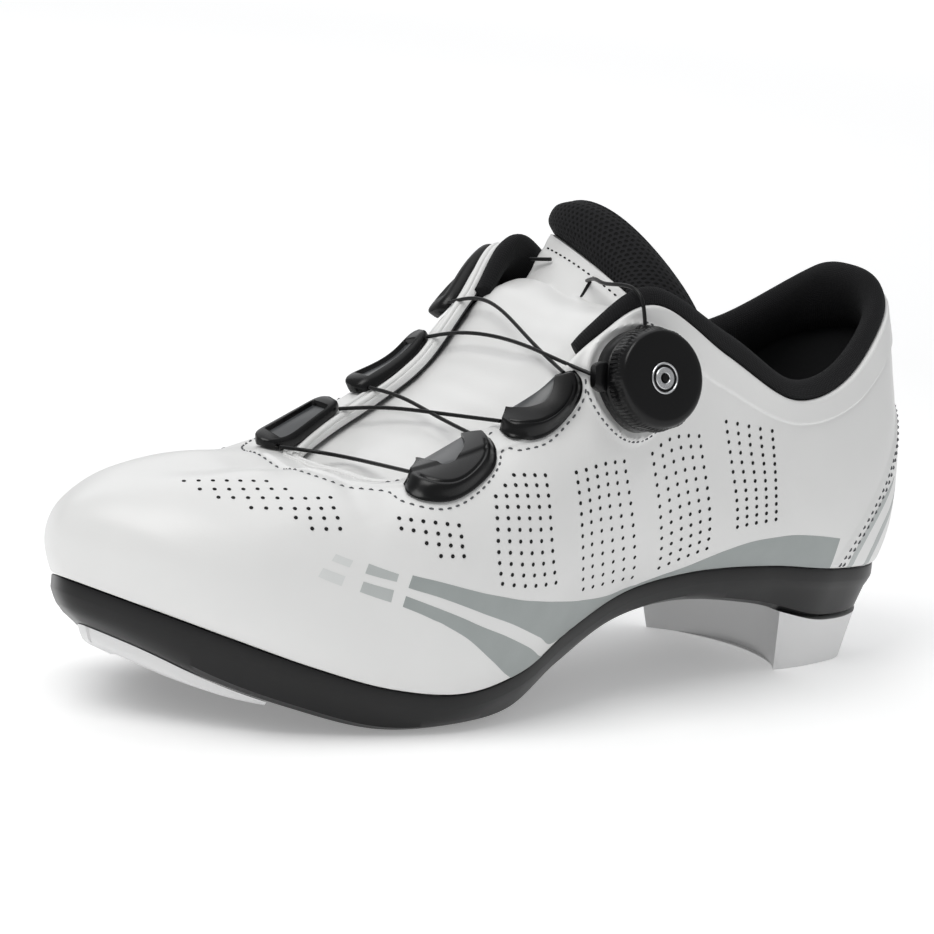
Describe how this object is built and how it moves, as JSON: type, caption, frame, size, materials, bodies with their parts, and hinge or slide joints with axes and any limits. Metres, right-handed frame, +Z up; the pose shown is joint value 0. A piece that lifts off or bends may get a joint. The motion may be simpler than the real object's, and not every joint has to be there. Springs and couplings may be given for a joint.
{
  "type": "cycling shoe",
  "caption": "Left road cycling shoe: hollow white perforated upper, stiff plate sole with cleat slots, side dial and thin lace through low guides.",
  "frame": {"origin": "on the floor under the middle of the heel pad", "axes": "+X to the toe, +Y to the outer side of the left foot, +Z up"},
  "size_m": [0.2707, 0.1002, 0.1214],
  "materials": {
    "white_leather": "semi-gloss white coated microfibre with a fine grain",
    "black_nylon": "matt black moulded plate",
    "white_rubber": "matt white moulded tread rubber",
    "black_mesh": "black spacer mesh over foam",
    "black_plastic": "dark satin moulded plastic",
    "lining_grey": "dark woven lining over foam",
    "dark_steel": "blackened steel",
    "bright_cap": "spun bright metal disc",
    "dark_cable": "dark coated cable"
  },
  "bodies": {
    "root": {"outsole": "black_nylon", "heel_pad": "white_rubber", "toe_bumper": "white_rubber", "cleat_bolt_outer": "dark_steel", "cleat_bolt_inner": "dark_steel", "insole": "lining_grey", "upper": "white_leather", "tongue": "white_leather", "tongue_pad": "black_mesh", "collar_lining": "black_mesh", "guide_outer_front": "black_plastic", "guide_outer_rear": "black_plastic", "guide_inner_front": "black_plastic", "guide_inner_middle": "black_plastic", "guide_inner_rear": "black_plastic", "dial_base": "black_plastic", "dial_knob": "black_plastic", "dial_cap": "bright_cap", "lace_front": "dark_cable", "lace_lower_cross": "dark_cable", "lace_upper_cross": "dark_cable", "lace_top_outer": "dark_cable", "lace_top_inner": "dark_cable"}
  },
  "joints": []
}
